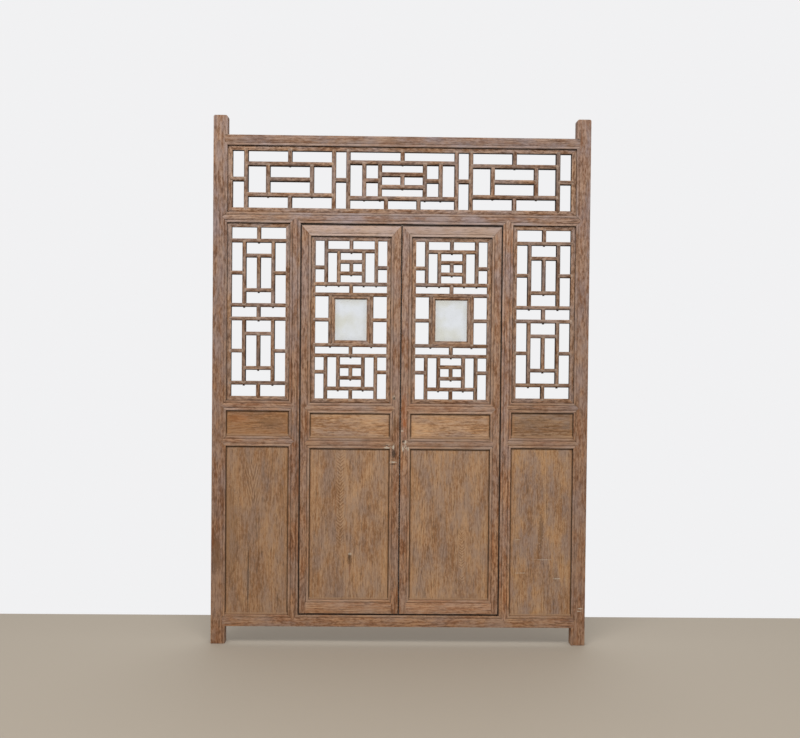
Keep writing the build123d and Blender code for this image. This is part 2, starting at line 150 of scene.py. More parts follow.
def stretchedNoise(vector, stretch, seed, detail=3.0, roughness=0.55):
    place = vectorCalc("MULTIPLY", vector, stretch)
    inputs = {"Vector": place, "W": seed, "Scale": 1.0, "Detail": detail, "Roughness": roughness}
    return join("ShaderNodeTexNoise", inputs, noise_dimensions="4D").outputs


# noise about zero, for lines and limits that waver
def waver(noise, amount):
    return times(minus(noise, 0.5), amount)


def centred(noise):
    return vectorCalc("SUBTRACT", noise, (0.5, 0.5, 0.5))


# a shader group; four numbers make a colour socket, three a vector socket and one a value socket
def newGroup(name, takes, gives):
    group = bpy.data.node_groups.new(name, "ShaderNodeTree")
    for label, value in takes.items():
        kind = {3: "Vector", 4: "Color"}[len(value)] if isinstance(value, tuple) else "Float"
        socket = group.interface.new_socket(label, in_out="INPUT", socket_type="NodeSocket" + kind)
        socket.default_value = value
    for label in gives:
        kind = "Color" if label == "Color" else "Float"
        group.interface.new_socket(label, in_out="OUTPUT", socket_type="NodeSocket" + kind)
    return group, put(group, "NodeGroupInput").outputs, put(group, "NodeGroupOutput").inputs


# a group placed in a material's tree
def use(group, inputs):
    return join("ShaderNodeGroup", inputs, node_tree=group).outputs


# sway of the grain, and where in a year's ring the late wood rises and ends
ringSettings = {"sway": (7, 7, 2.4), "rise": (0.25, 0.85), "end": (0.90, 1.0)}
# the other textures of a board: how often they repeat in a metre, and the limits they are eased between
grainSettings = {
    "Fibre": {"stretch": (230, 230, 13), "detail": 3.0, "roughness": 0.60, "limits": (0.30, 0.70)},
    "Streak": {"stretch": (135, 135, 7), "detail": 3.0, "roughness": 0.55, "limits": (0.36, 0.64)},
    "Pores": {"stretch": (400, 400, 24), "detail": 1.0, "roughness": 0.55, "limits": (0.60, 0.71)},
    "Patch": {"stretch": (19, 19, 7), "detail": 5.0, "roughness": 0.66, "limits": (0.38, 0.64)},
    "Speck": {"stretch": (125, 125, 48), "detail": 4.0, "roughness": 0.68, "limits": (0.34, 0.66)},
    "Checks": {"stretch": (210, 210, 11), "detail": 2.0, "roughness": 0.60, "limits": (0.63, 0.70)},
    "Cloud": {"stretch": (11, 11, 4), "detail": 4.0, "roughness": 0.55, "limits": (0.36, 0.64),
              "seedShift": 31.0},
}
reliefShares = {"Rings": 0.30, "Fibre": 0.45, "Speck": 0.30, "Pores": -0.50, "Checks": -0.70}


# growth rings, fibre, open pores, fine cracks and broad patches of a board whose grain runs along Z
def buildBoardGrain():
    takes = {"Vector": (0, 0, 0), "Seed": 0.0, "Ring Width": 0.005, "Waviness": 0.01,
             "Pith Side": 0.02, "Pith Depth": 0.12, "Pith Tilt": 0.03}
    group, given, out = newGroup("boardGrain", takes, ["Rings", *grainSettings, "Height"])
    sway = centred(stretchedNoise(given["Vector"], ringSettings["sway"], given["Seed"])["Color"])
    place = vectorCalc("ADD", given["Vector"], scaled(sway, given["Waviness"]))
    axes = axesOf(place)
    side = plus(axes["X"], given["Pith Side"])
    deep = plus(axes["Y"], given["Pith Depth"])
    deep = plus(deep, times(axes["Z"], given["Pith Tilt"]))
    square = plus(calc("POWER", side, 2.0), calc("POWER", deep, 2.0))
    turn = calc("DIVIDE", calc("SQRT", square), given["Ring Width"])
    turn = calc("FRACT", turn)
    rise = ease(turn, *ringSettings["rise"])  # slow rise to the dark late wood
    end = ease(turn, *ringSettings["end"])  # then a quick end of the year
    textures = {"Rings": minus(rise, end)}
    for label, row in grainSettings.items():
        seed = plus(given["Seed"], row.get("seedShift", 0.0))
        noise = stretchedNoise(place, row["stretch"], seed, row["detail"], row["roughness"])["Fac"]
        textures[label] = ease(noise, *row["limits"])
    textures["Height"] = weighted([(textures[label], share) for label, share in reliefShares.items()])
    for label, socket in textures.items():
        link(socket, out[label])
    return group


ageingAndShadeSettings = {"samples": 8, "cornerReach": 0.009, "corner": (0.25, 0.85), "edgeReach": 0.004,
                  "edge": (0.35, 0.80), "rubStretch": (60, 60, 14), "rubbed": (0.40, 0.62),
                  "sideways": (0.45, 0.97), "upward": (0.2, 0.8)}


# dirt and painted shade in corners, painted shade on the hidden sides, and pale wood where edges are rubbed
# bare
def buildAgeingAndShade():
    takes = {"Color": (0.3, 0.2, 0.1, 1), "Dirt Color": (0.03, 0.02, 0.02, 1),
             "Worn Color": (0.5, 0.4, 0.3, 1), "Dirt": 0.7, "Side Grime": 0.3, "Ledge Dust": 0.8, "Wear": 0.5,
             "Vector": (0, 0, 0), "Seed": 0.0}
    group, given, out = newGroup("ageing", takes, ["Color"])
    size = ageingAndShadeSettings

    def shutIn(reach, inside):
        node = put(group, "ShaderNodeAmbientOcclusion", {"Distance": reach}, samples=size["samples"])
        node.inside = inside
        return node.outputs["AO"]

    # painted shade and dirt where corners and recesses close in
    corner = lessThan(shutIn(size["cornerReach"], False), *size["corner"])
    thin = shutIn(size["edgeReach"], True)
    rubbed = stretchedNoise(given["Vector"], size["rubStretch"], given["Seed"])["Fac"]
    edge = lessThan(thin, *size["edge"])
    edge = times(edge, ease(rubbed, *size["rubbed"]))
    facing = axesOf(put(group, "ShaderNodeTexCoord").outputs["Normal"])
    # painted shade on faces turned sideways
    sideways = lessThan(calc("ABSOLUTE", facing["Y"]), *size["sideways"])
    upward = ease(facing["Z"], *size["upward"])
    bare = rest(times(upward, given["Ledge Dust"]))  # faces turned up are spared the painted shade: light falls on them from above and dust keeps them paler
    color = mixed(times(edge, given["Wear"]), given["Color"], given["Worn Color"])
    for place, share in ((sideways, given["Side Grime"]), (corner, given["Dirt"])):
        darkened = times(times(place, bare), share)
        color = mixed(darkened, color, given["Dirt Color"])
    link(color, out["Color"])
    return group


# widths across the edge, how soft they end, and how deep from the front and how far behind that they fade
beadSettings = {"bead": 0.0100, "groove": 0.0024, "soft": 0.0016, "deep": 0.006, "fade": 1.4}


# where a bead and its groove run along one edge of a member
def buildBeadLines():
    takes = {"Vector": (0, 0, 0), "Edge": 0.0, "Front": 0.0, "Reach": 10.0}
    group, given, out = newGroup("beadLines", takes, ["Bead", "Groove"])
    size = beadSettings
    axes = axesOf(given["Vector"])
    away = distance(axes["X"], given["Edge"])
    near = lessThan(minus(axes["Y"], given["Front"]), size["deep"], size["deep"] * size["fade"])
    near = times(near, calc("LESS_THAN", axes["Z"], given["Reach"]))
    beadEnd = (size["bead"] - size["soft"], size["bead"])
    grooveEnd = size["bead"] + size["groove"]
    groove = times(ease(away, *beadEnd), near)
    groove = times(groove, lessThan(away, grooveEnd, grooveEnd + size["soft"]))
    link(times(lessThan(away, *beadEnd), near), out["Bead"])
    link(groove, out["Groove"])
    return group


tintSettings = {"low": 0.2, "high": 2.1}  # heights between which the tint changes


# warmer low down, greyer and cooler towards the top
def buildHeightTint():
    takes = {"Color": (0.3, 0.2, 0.1, 1), "Vector": (0, 0, 0), "Low Color": (1, 1, 1, 1),
             "High Color": (1, 1, 1, 1)}
    group, given, out = newGroup("heightTint", takes, ["Color"])
    share = ease(axesOf(given["Vector"])["Z"], tintSettings["low"], tintSettings["high"])
    tint = mixed(share, given["Low Color"], given["High Color"])
    link(mixed(1.0, given["Color"], tint, "MULTIPLY"), out["Color"])
    return group


# scale and detail of the noise; limits are shares of a line's width and of its depth
edgeLightAndShadeSettings = {"noise": (55.0, 3.0), "line": (0.5, 1.1), "deep": (0.6, 1.6)}


# a mask along four edges of a piece or a leaf, each line with its own width, for painted shade and painted
# light
def buildEdgeLightAndShade():
    edges = {"Left": "X", "Right": "X", "Top": "Z", "Bottom": "Z"}
    takes = {"Vector": (0, 0, 0), "Ragged": 0.0024, "Front": 0.0, "Depth": 0.013}
    takes.update({label + " Edge": 0.0 for label in edges})
    takes.update({label + " Width": 0.004 for label in edges})
    group, given, out = newGroup("edgeDirt", takes, ["Mask"])
    axes = axesOf(given["Vector"])
    ragged = waver(noiseAt(given["Vector"], *edgeLightAndShadeSettings["noise"]), given["Ragged"])
    mask = 0.0
    for label, axis in edges.items():
        away = distance(axes[axis], given[label + " Edge"])
        share = calc("DIVIDE", plus(away, ragged), given[label + " Width"])
        mask = calc("MAXIMUM", mask, lessThan(share, *edgeLightAndShadeSettings["line"]))
    deep = calc("DIVIDE", minus(axes["Y"], given["Front"]), given["Depth"])
    link(times(mask, lessThan(deep, *edgeLightAndShadeSettings["deep"])), out["Mask"])
    return group


# scale and detail of the noise; reach is in shares of a mark's size; gaps is where a spotty mark is missing
markSettings = {"noise": (230.0, 4.0), "reach": (0.70, 1.10), "gaps": (0.52, 0.58), "depth": 0.012}


# a ragged patch around one place on the front
def buildLocalMark():
    takes = {"Vector": (0, 0, 0), "Place": (0, 0, 0), "Per Size": (1, 0, 1), "Ragged": 0.5, "Spots": 0.0}
    group, given, out = newGroup("localMark", takes, ["Mask"])
    apart = vectorCalc("SUBTRACT", given["Vector"], given["Place"])
    apart = vectorCalc("MULTIPLY", apart, given["Per Size"])
    reach = put(group, "ShaderNodeVectorMath", {0: apart}, operation="LENGTH").outputs["Value"]
    noise = noiseAt(given["Vector"], *markSettings["noise"])
    whole = lessThan(plus(reach, waver(noise, given["Ragged"])), *markSettings["reach"])
    gaps = times(lessThan(noise, *markSettings["gaps"]), given["Spots"])
    link(times(whole, rest(gaps)), out["Mask"])
    return group


# where a dark and a pale line rise and fall within one repeat, and how the column fades at its sides and ends
columnSettings = {
    "noise": (24, 24, 24), "dark": ((0.15, 0.40), (0.50, 0.65)), "pale": ((0.55, 0.75), (0.85, 1.0)),
    "side": (0.5, 1.3), "end": (-0.030, 0.030), "broken": (0.30, 0.52), "rise": 2.0}


# a column of V-shaped growth lines on the front, where the board was cut along the side of its rings
def buildChevrons():
    takes = {"Vector": (0, 0, 0), "Column": 0.0, "Low": 0.0, "High": 1.0, "Half Width": 0.017, "Slope": 1.0,
             "Spacing": 0.016, "Sway": 0.015, "Seed": 0.0}
    group, given, out = newGroup("chevrons", takes, ["Dark", "Pale"])
    size = columnSettings
    axes = axesOf(given["Vector"])
    noise = stretchedNoise(given["Vector"], size["noise"], given["Seed"])["Color"]
    sway = axesOf(centred(noise))
    side = minus(axes["X"], given["Column"])
    side = plus(side, times(sway["X"], given["Sway"]))
    away = calc("ABSOLUTE", side)
    rise = minus(axes["Z"], times(away, given["Slope"]))
    rise = plus(rise, times(sway["Z"], times(given["Sway"], size["rise"])))
    turn = calc("FRACT", calc("DIVIDE", rise, given["Spacing"]))
    zone = lessThan(calc("DIVIDE", away, given["Half Width"]), *size["side"])
    for label, sign in (("Low", 1.0), ("High", -1.0)):
        inside = times(minus(axes["Z"], given[label]), sign)
        zone = times(zone, ease(inside, *size["end"]))
    whole = ease(plus(sway["Y"], 0.5), *size["broken"])  # broken here and there
    zone = times(zone, whole)
    for label in ("Dark", "Pale"):
        starts, ends = size[label.lower()]
        line = minus(ease(turn, *starts), ease(turn, *ends))
        link(times(line, zone), out[label])
    return group


boardGrain = buildBoardGrain()
ageing = buildAgeingAndShade()
beadLines = buildBeadLines()
localMark = buildLocalMark()
edgeDirt = buildEdgeLightAndShade()
heightTint = buildHeightTint()
chevrons = buildChevrons()
print("wood groups built")

# colours are linear; dark is late wood, pale is early wood, grey and rust are what weather and oil left
commonWood = {
    "dirt": 0.75, "wear": 0.30, "ringWidth": 0.0050, "waviness": 0.012, "rings": 0.12, "fibre": 0.37,
    "streak": 0.23, "speck": 0.40, "cloud": 0.10, "checks": 0.42, "relief": 0.0010,
    "lowTint": (1.020, 0.945, 0.840, 1), "highTint": (0.990, 1.030, 1.110, 1)}
woodFinishes = {
    "frame": {
        **commonWood, "dark": (0.132, 0.064, 0.034), "pale": (0.396, 0.248, 0.168),
        "grey": (0.328, 0.235, 0.188), "rust": (0.290, 0.112, 0.045), "greyShare": 0.55, "rustShare": 0.30,
        "hue": 0.13, "lowTint": (1.020, 0.930, 0.810, 1), "highTint": (1.000, 1.060, 1.190, 1)},
    "leaf": {
        **commonWood, "dark": (0.135, 0.065, 0.034), "pale": (0.412, 0.256, 0.170),
        "grey": (0.336, 0.240, 0.190), "rust": (0.305, 0.116, 0.045), "greyShare": 0.48, "rustShare": 0.32,
        "hue": 0.10},
    "panel": {
        **commonWood, "dark": (0.196, 0.102, 0.050), "pale": (0.464, 0.292, 0.175),
        "grey": (0.296, 0.208, 0.155), "rust": (0.370, 0.165, 0.062), "greyShare": 0.46, "rustShare": 0.24,
        "hue": 0.085, "wear": 0.15, "ringWidth": 0.0044, "waviness": 0.006, "rings": 0.14, "fibre": 0.30,
        "streak": 0.12, "speck": 0.34, "cloud": 0.29, "checks": 0.32,
        "lowTint": (1, 1, 1, 1), "highTint": (1, 1, 1, 1)},
    "lattice": {
        **commonWood, "dark": (0.105, 0.053, 0.029), "pale": (0.446, 0.280, 0.188),
        "grey": (0.340, 0.250, 0.204), "rust": (0.300, 0.118, 0.045), "greyShare": 0.50, "rustShare": 0.30,
        "hue": 0.12, "wear": 0.45, "waviness": 0.008, "rings": 0.10, "fibre": 0.30, "streak": 0.30,
        "speck": 0.50, "cloud": 0.05, "relief": 0.0008, "highTint": (1.000, 1.020, 1.050, 1)},
}
# what a piece has unless its own row says otherwise; grey and rust scale the finish's own shares. The side
# setting is painted shade on faces turned sideways, the ledge setting how far faces turned up are spared it
pieceDefaults = {
    "tone": 1.0, "pith": (0.02, 0.12, 0.03), "figure": 1.0, "contrast": 1.0, "grey": 1.0, "greyBase": 0.0,
    "rust": 1.0, "rustBase": 0.0, "beadRub": 0.55, "sideGrime": 0.3, "ledgeDust": 0.8, "beadEdges": (),
    "columns": (), "rims": (), "marks": ()}
# depth runs from pale to dark; raised specks are less grey than hollows; cool shares make cooler patches
woodMix = {
    "middle": 0.6, "depth": (0.22, 0.94), "greySpeck": 0.30, "coolPatch": 0.55, "coolCloud": 0.45,
    "poreDirt": 0.40, "rubSpeck": 0.40, "rubPatch": 0.30, "rough": 0.92, "lateSmooth": 0.12, "shine": 0.25}
# near-black of dirt, pores and cracks; it is also the colour of the painted shade in corners, on sides and in
# the gaps around the leaves
shadeAndDirtColor = (0.020, 0.012, 0.008, 1)
wornColor = (0.500, 0.400, 0.320, 1)
beadColor = (0.430, 0.315, 0.240, 1)
markColors = {
    "dark": (0.035, 0.022, 0.016, 1), "pale": (0.560, 0.480, 0.390, 1), "orange": (0.360, 0.115, 0.036, 1),
    "oil": (0.150, 0.080, 0.040, 1), "red": (0.230, 0.095, 0.050, 1)}
columnShares = {"Dark": 0.62, "Pale": 0.55}


# Object coordinates centred on the piece, turned so that the grain runs along Z
def grainPlace(tree, centre, along):
    turn = Matrix.Rotation(-math.pi / 2, 4, "Y") if along == "x" else Matrix.Identity(4)
    shift = -(turn @ Vector(centre))
    inputs = {"Vector": objectPlace(tree), "Location": shift, "Rotation": turn.to_euler()}
    return put(tree, "ShaderNodeMapping", inputs).outputs[0]


# early and late wood, greyed by weather in patches and stained by oil between them
def grainColor(look, row, toned, grain):
    shares = {**look, "rings": look["rings"] * row["figure"]}
    labels = ("Rings", "Fibre", "Streak", "Speck", "Cloud")
    depth = weighted([(grain[label], shares[label.lower()]) for label in labels])
    depth = plus(times(depth, row["contrast"]), woodMix["middle"] * (1.0 - row["contrast"]))
    color = mixed(ease(depth, *woodMix["depth"]), toned["pale"], toned["dark"])
    speck = woodMix["greySpeck"]
    greyed = weighted(((grain["Patch"], look["greyShare"] * row["grey"]), (grain["Speck"], -speck)))
    greyed = calc("ADD", greyed, row["greyBase"] + speck / 2, clamp=True)
    color = mixed(greyed, color, toned["grey"])
    oiled = times(rest(grain["Patch"]), grain["Streak"])
    oiled = times(oiled, look["rustShare"] * row["rust"])
    oiled = calc("ADD", oiled, row["rustBase"], clamp=True)
    color = mixed(oiled, color, toned["rust"])
    cool = weighted(((grain["Patch"], woodMix["coolPatch"]), (grain["Cloud"], woodMix["coolCloud"])))
    hue = row["hue"]
    tint = mixed(cool, (1 + hue / 3, 1, 1 - hue, 1), (1 - hue / 3, 1, 1 + hue, 1))
    color = mixed(1.0, color, tint, "MULTIPLY")  # warm here, cool there, equally bright
    color = mixed(times(grain["Pores"], woodMix["poreDirt"]), color, shadeAndDirtColor)
    return mixed(times(grain["Checks"], look["checks"]), color, shadeAndDirtColor)


# rubbed beads; their grooves are kept free of the painted corner shade and dirt
def beadWear(row, place, grain, color):
    dirt = row["dirt"]
    for edge in row["beadEdges"]:
        inputs = {"Vector": place, "Edge": edge, "Front": row["front"], "Reach": row["beadReach"]}
        lines = use(beadLines, inputs)
        worn = weighted(((grain["Speck"], woodMix["rubSpeck"]), (grain["Patch"], woodMix["rubPatch"])))
        rubbed = times(times(lines["Bead"], worn), row["beadRub"])
        color = mixed(rubbed, color, beadColor)
        dirt = times(rest(lines["Groove"]), dirt)
    return color, dirt


# what lies on single pieces: V-shaped grain, painted shade and painted light along edges, a bar's own shade
# and marks, in that order
def localWear(row, toned, seed, coords, color):
    for column in row["columns"]:
        lines = use(chevrons, {"Vector": coords, "Seed": seed, **column})
        for label, share in columnShares.items():
            color = mixed(times(lines[label], share), color, toned[label.lower()])
    for rim in row["rims"]:
        mask = use(edgeDirt, {"Vector": coords, **rim["edges"]})["Mask"]
        color = mixed(times(mask, rim["share"]), color, rim["color"])
    if "shade" in row:
        color = mixed(row["shade"], color, shadeAndDirtColor)
    for spot in row["marks"]:
        inputs = {"Vector": coords, "Place": (spot["x"], row["face"], spot["z"]),
                  "Per Size": (1 / spot["wide"], 1 / markSettings["depth"], 1 / spot["tall"]),
                  "Ragged": spot["ragged"], "Spots": spot["spots"]}
        mask = use(localMark, inputs)["Mask"]
        color = mixed(times(mask, spot["share"]), color, markColors[spot["color"]])
    return color


# one piece of aged wood; place is its grain place, seed a number or a socket, row its own settings
def woodShade(material, finish, place, seed, row):
    tree = material.node_tree
    look = woodFinishes[finish]
    row = {**pieceDefaults, "hue": look["hue"], "dirt": look["dirt"], **row}
    toned = {label: tuple(value * row["tone"] for value in look[label]) + (1,)
             for label in ("dark", "pale", "grey", "rust")}
    side, depth, tilt = row["pith"]
    grain = use(boardGrain, {
        "Vector": place, "Seed": seed, "Ring Width": look["ringWidth"], "Waviness": look["waviness"],
        "Pith Side": side, "Pith Depth": depth, "Pith Tilt": tilt})
    color = grainColor(look, row, toned, grain)
    color, dirt = beadWear(row, place, grain, color)
    coords = objectPlace(tree)
    tints = {"Color": color, "Vector": coords, "Low Color": look["lowTint"], "High Color": look["highTint"]}
    color = use(heightTint, tints)["Color"]
    color = localWear(row, toned, seed, coords, color)
    color = use(ageing, {
        "Color": color, "Dirt Color": shadeAndDirtColor, "Worn Color": wornColor, "Dirt": dirt, "Wear": look["wear"],
        "Side Grime": row["sideGrime"], "Ledge Dust": row["ledgeDust"], "Vector": place,
        "Seed": seed})["Color"]
    rough = minus(woodMix["rough"], times(grain["Rings"], woodMix["lateSmooth"]))
    inputs = {"Height": grain["Height"], "Distance": look["relief"], "Strength": 1.0}
    bump = join("ShaderNodeBump", inputs).outputs[0]
    shader = tree.nodes["Principled BSDF"]
    link(color, shader.inputs["Base Color"])
    link(rough, shader.inputs["Roughness"])
    link(bump, shader.inputs["Normal"])
    shader.inputs["Specular IOR Level"].default_value = woodMix["shine"]
    return material


def newMaterial(name):
    material = bpy.data.materials.new(name)
    material.use_nodes = True
    return material


def newObject(name, data):
    thing = bpy.data.objects.new(name, data)
    scene.collection.objects.link(thing)
    return thing


def dress(name, material):
    nodes[name].data.materials.clear()
    nodes[name].data.materials.append(material)


# a solid piece: its finish, grain direction, beaded edges and its own settings
def member(finish, along, *beads, **own):
    return {"finish": finish, "along": along, "beads": beads, **own}


solidPieces = {
    "top_rail": member("frame", "x", "bottom", grey=1.2, greyBase=0.2, tone=0.87),
    "transom_rail": member("frame", "x", "top", "bottom", sideGrime=0.9, grey=1.2, greyBase=0.2),
    "bottom_rail": member("frame", "x", "top", beadRub=0.4, rust=1.2, greyBase=0.15, contrast=1.25),
    "post": member("frame", "z", "inner", beadRub=0.1, sideGrime=0.0),
    "jamb": member("frame", "z", "inner", "outer", beadRub=0.2, sideGrime=0.7, rust=1.2),
    "side_lower_rail": member("frame", "x", "top", "bottom", sideGrime=0.5, greyBase=0.15, tone=1.04),
    "side_upper_rail": member("frame", "x", "top", "bottom", sideGrime=0.5, greyBase=0.15),
    "side_tall_panel": member("panel", "z"),
    "side_small_panel": member("panel", "x", figure=0.5),
    "leaf_hinge_stile": member("leaf", "z", "inner", sideGrime=0.55, ledgeDust=0.0),
    "leaf_meeting_stile": member("leaf", "z", "outer", sideGrime=0.55, ledgeDust=0.0),
    "leaf_bottom_rail": member("leaf", "x", "top", sideGrime=0.6, greyBase=0.25, contrast=0.6, tone=1.12),
    "leaf_lower_rail": member("leaf", "x", "top", "bottom", sideGrime=0.5, greyBase=0.44, tone=0.96),
    "leaf_upper_rail": member("leaf", "x", "top", "bottom", sideGrime=0.5, greyBase=0.36, tone=1.06),
    "leaf_top_rail": member("leaf", "x", "bottom", sideGrime=0.55, ledgeDust=0.0, greyBase=0.75, rust=0.2,
                            tone=1.36),
    "leaf_tall_panel": member("panel", "z"),
    "leaf_small_panel": member("panel", "x", figure=0.5, tone=1.18),
}
# what sets single pieces apart from their twins
ownLooks = {
    "left_side_small_panel": {"rustBase": 0.45, "grey": 0.6, "figure": 1.6, "contrast": 1.5, "tone": 0.84},
    "right_side_small_panel": {"grey": 1.3, "tone": 0.86},
    "right_leaf_small_panel": {"tone": 1.19},
    "left_leaf_tall_panel": {"pith": (-0.090, 0.070, 0.05), "rustBase": 0.06, "greyBase": 0.08, "tone": 1.01},
    "right_leaf_tall_panel": {"pith": (0.110, 0.090, 0.04), "grey": 1.1, "rustBase": 0.04, "greyBase": 0.10,
                              "tone": 1.03},
    "left_side_tall_panel": {"pith": (-0.085, 0.060, 0.05), "rustBase": 0.10, "greyBase": 0.06, "tone": 0.92},
    "right_side_tall_panel": {"pith": (0.070, 0.050, 0.04), "grey": 1.2, "rustBase": 0.03, "greyBase": 0.10,
                              "hue": 0.15, "tone": 1.03},
    "left_post": {"tone": 0.94},
    "right_post": {"greyBase": 0.12, "tone": 0.97},
    "left_jamb": {"tone": 0.98},
    "right_jamb": {"tone": 1.17},
    "right_leaf_meeting_stile": {"tone": 1.06},
    "right_leaf_hinge_stile": {"tone": 1.05},
    "right_leaf_top_rail": {"greyBase": 0.85, "tone": 1.22},
    "right_leaf_bottom_rail": {"tone": 1.22},
    "right_leaf_upper_rail": {"tone": 1.12},
    "left_side_upper_rail": {"tone": 1.08},
    "right_side_lower_rail": {"greyBase": 0.45, "tone": 0.98},
    "right_side_upper_rail": {"greyBase": 0.22, "tone": 0.91},
}
# columns of V-shaped grain in the tall panels, in metres
grainColumns = {
    "left_leaf_tall_panel": [
        {"Column": -0.2704, "Low": 0.470, "High": 0.872, "Half Width": 0.018, "Slope": 1.0}],
    "right_leaf_tall_panel": [
        {"Column": 0.288, "Low": 0.285, "High": 0.530, "Half Width": 0.013, "Slope": 0.9, "Spacing": 0.013}],
    "left_side_tall_panel": [
        {"Column": -0.667, "Low": 0.640, "High": 0.830, "Half Width": 0.034, "Slope": 4.7, "Spacing": 0.056}],
}


# a single mark: where it lies on the front, half its width and height in metres, its colour and strength
def mark(x, z, wide, tall, color, share, ragged=1.7, spots=0.0):
    return {"x": x, "z": z, "wide": wide, "tall": tall, "color": color, "share": share, "ragged": ragged,
            "spots": spots}


marks = {
    "left_leaf_meeting_stile": [
        mark(-0.029, 1.130, 0.009, 0.013, "pale", 0.45),
        mark(-0.028, 1.126, 0.005, 0.007, "dark", 0.80),
        mark(-0.025, 1.008, 0.010, 0.032, "oil", 0.60),
        mark(-0.030, 0.880, 0.022, 0.055, "dark", 0.65, spots=1.0),
        mark(-0.031, 0.906, 0.006, 0.014, "pale", 0.80),
        mark(-0.028, 0.874, 0.008, 0.020, "dark", 0.75),
        mark(-0.030, 0.835, 0.017, 0.004, "pale", 0.75),
        mark(-0.030, 0.826, 0.015, 0.003, "dark", 0.65),
    ],
    "right_leaf_meeting_stile": [
        mark(0.020, 1.050, 0.013, 0.120, "orange", 0.30, ragged=3.0),
        mark(0.020, 1.014, 0.009, 0.018, "orange", 0.70, ragged=2.4),
        mark(0.010, 0.978, 0.006, 0.005, "pale", 0.55),
        mark(0.026, 0.908, 0.024, 0.034, "pale", 0.70, spots=1.0),
        mark(0.025, 0.925, 0.004, 0.011, "pale", 0.85),
        mark(0.016, 0.930, 0.007, 0.006, "dark", 0.75),
        mark(0.0135, 0.896, 0.004, 0.011, "pale", 0.80),
        mark(0.037, 0.896, 0.004, 0.010, "pale", 0.80),
    ],
    "left_leaf_lower_rail": [
        mark(-0.058, 0.905, 0.026, 0.016, "pale", 0.70, spots=1.0),
        mark(-0.060, 0.901, 0.012, 0.004, "pale", 0.75),
        mark(-0.060, 0.912, 0.010, 0.003, "dark", 0.60),
    ],
    "left_leaf_tall_panel": [
        mark(-0.2245, 0.345, 0.005, 0.035, "red", 0.45),
        mark(-0.2245, 0.388, 0.012, 0.030, "oil", 0.70, ragged=1.0),
        mark(-0.2265, 0.400, 0.006, 0.014, "dark", 0.45),
        mark(-0.2230, 0.413, 0.009, 0.006, "pale", 0.50, ragged=1.0),
    ],
    "left_side_small_panel": [
        mark(-0.590, 1.010, 0.062, 0.026, "oil", 0.42, ragged=2.2),
        mark(-0.735, 1.030, 0.050, 0.020, "orange", 0.22, ragged=2.2),
    ],
    "right_side_small_panel": [
        mark(0.620, 1.022, 0.080, 0.018, "oil", 0.32, ragged=2.4),
    ],
    "left_side_tall_panel": [
        mark(-0.772, 0.520, 0.045, 0.260, "oil", 0.28, ragged=1.6),
        mark(-0.687, 0.310, 0.0026, 0.165, "dark", 0.85, ragged=0.9),
    ],
    "right_side_tall_panel": [
        mark(0.724, 0.306, 0.020, 0.0024, "pale", 0.65),
        mark(0.558, 0.331, 0.034, 0.0020, "pale", 0.40, ragged=2.4),
        mark(0.663, 0.393, 0.038, 0.0020, "pale", 0.40, ragged=2.4),
        mark(0.543, 0.484, 0.014, 0.0020, "pale", 0.40),
        mark(0.651, 0.530, 0.012, 0.085, "oil", 0.55, ragged=2.6),
    ],
    "right_post": [
        mark(0.833, 0.170, 0.012, 0.003, "pale", 0.70),
        mark(0.829, 0.158, 0.010, 0.003, "pale", 0.55),
    ],
    "left_post": [
        mark(-0.829, 0.400, 0.020, 0.085, "oil", 0.55, ragged=2.0),
    ],
}


hornSettings = {"beadAbove": 0.036}  # how far a post's bead runs on above the top rail
everywhere = 10.0  # reach of a bead that doesn't stop
noEdge = -10.0  # far from every piece


# places across the grain of a piece's beaded edges
def beadEdges(name, row, half):
    hand = -1 if name.startswith("left_") else 1
    edges = {"top": -half.z, "bottom": half.z, "inner": -hand * half.x, "outer": hand * half.x}
    return [edges[label] for label in row["beads"]]


# heights above a panel's lower edge between which the painted shade and dirt come in, and their least share
# below them
panelShadeAndDirtSettings = {"clear": (0.008, 0.040), "least": 0.15}


# painted shade and dirt fade out towards a panel's lower edge, which is lit from above
def panelShadeAndDirt(tree, low, share):
    height = minus(axesOf(objectPlace(tree))["Z"], low.z)
    least = panelShadeAndDirtSettings["least"]
    above = times(ease(height, *panelShadeAndDirtSettings["clear"]), 1 - least)
    return times(plus(above, least), share)


# painted shade in the gaps around the leaves: the line's width at each edge, its share and colour
seamSettings = {"hinge": 0.0060, "meeting": 0.0040, "top": 0.0065, "bottom": 0.0035, "share": 0.96,
                "color": shadeAndDirtColor}
# painted shadow along a panel's sides and under the member above it
rimSettings = {"side": 0.0075, "top": 0.0115, "ragged": 0.0055, "share": 0.62,
               "color": (0.085, 0.044, 0.022, 1)}
# painted warm bounce light along a panel's sides
bounceLightSettings = {"width": 0.0200, "share": 0.30, "color": (0.420, 0.215, 0.095, 1)}
# painted light along a panel's bottom edge, where it meets the member below
bottomLightSettings = {"width": 0.0130, "share": 0.70, "color": (0.520, 0.330, 0.205, 1)}
seamPieces = ("leaf_hinge_stile", "leaf_meeting_stile", "leaf_top_rail", "leaf_bottom_rail")


# x places where the field between two upright members begins and ends, or their two far sides
def between(hand, outer, inner, inside):
    outerLow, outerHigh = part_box(hand + outer)
    innerLow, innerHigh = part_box(hand + inner)
    if inside == (hand == "left"):
        return outerHigh.x, innerLow.x
    return outerLow.x, innerHigh.x


# painted shade along the four outer edges of a leaf, where the gaps around it fall in shade
def leafSeam(hand, front):
    outer, inner = between(hand, "_leaf_hinge_stile", "_leaf_meeting_stile", False)
    size = seamSettings
    edges = {"Front": front, "Left Edge": outer, "Left Width": size["hinge"], "Right Edge": inner,
             "Right Width": size["meeting"], "Top Edge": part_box(hand + "_leaf_top_rail")[1].z,
             "Top Width": size["top"], "Bottom Edge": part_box(hand + "_leaf_bottom_rail")[0].z,
             "Bottom Width": size["bottom"]}
    return [{**size, "edges": edges}]
